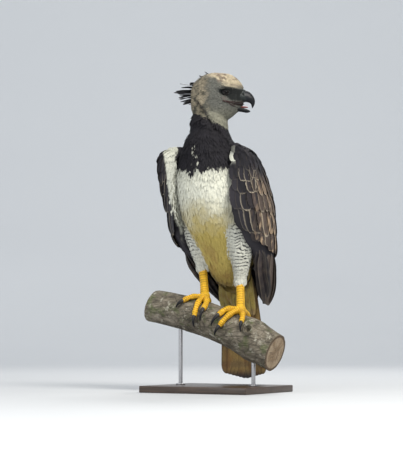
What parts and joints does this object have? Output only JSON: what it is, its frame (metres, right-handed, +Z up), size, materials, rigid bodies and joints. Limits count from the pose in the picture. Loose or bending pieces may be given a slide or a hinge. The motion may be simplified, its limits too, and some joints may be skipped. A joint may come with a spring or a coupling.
{
  "type": "harpy eagle",
  "caption": "Life-size harpy eagle as a still museum model, perched upright on a cut length of branch with its bill open, on a plain display stand.",
  "frame": {"origin": "middle of the display base's underside", "axes": "+Z up; the bird's breast faces -Y and its left wing is at +X; its head is turned towards +X"},
  "size_m": [0.4518, 0.3586, 0.968],
  "materials": {
    "hood": "soft grey and cream head feathers with a black crest",
    "bill": "dark slate horn, satin",
    "tongue": "moist pink flesh",
    "eye": "dark glossy eye",
    "collar": "black down",
    "belly": "white breast feathers turning yellow at the belly",
    "wing": "slate-black and brown feathers with pale edges",
    "tail": "barred grey-brown feathers, yellowish below",
    "thigh": "white feathers with thin dark bars",
    "foot": "bright yellow scaled skin",
    "claw": "black horn, satin",
    "perch": "rough grey-brown bark with lichen",
    "stand_board": "dark stained board, satin",
    "stand_rod": "brushed"
  },
  "bodies": {
    "root": {"head": "hood", "bill_upper": "bill", "bill_lower": "bill", "tongue": "tongue", "eye_left": "eye", "eye_right": "eye", "neck": "collar", "torso": "belly", "wing_left": "wing", "wing_right": "wing", "tail": "tail", "thigh_left": "thigh", "thigh_right": "thigh", "foot_left": "foot", "foot_right": "foot", "claw_inner_left": "claw", "claw_middle_left": "claw", "claw_outer_left": "claw", "claw_hind_left": "claw", "claw_inner_right": "claw", "claw_middle_right": "claw", "claw_outer_right": "claw", "claw_hind_right": "claw", "perch": "perch", "stand_base": "stand_board", "stand_rod_left": "stand_rod", "stand_rod_right": "stand_rod"}
  },
  "joints": []
}
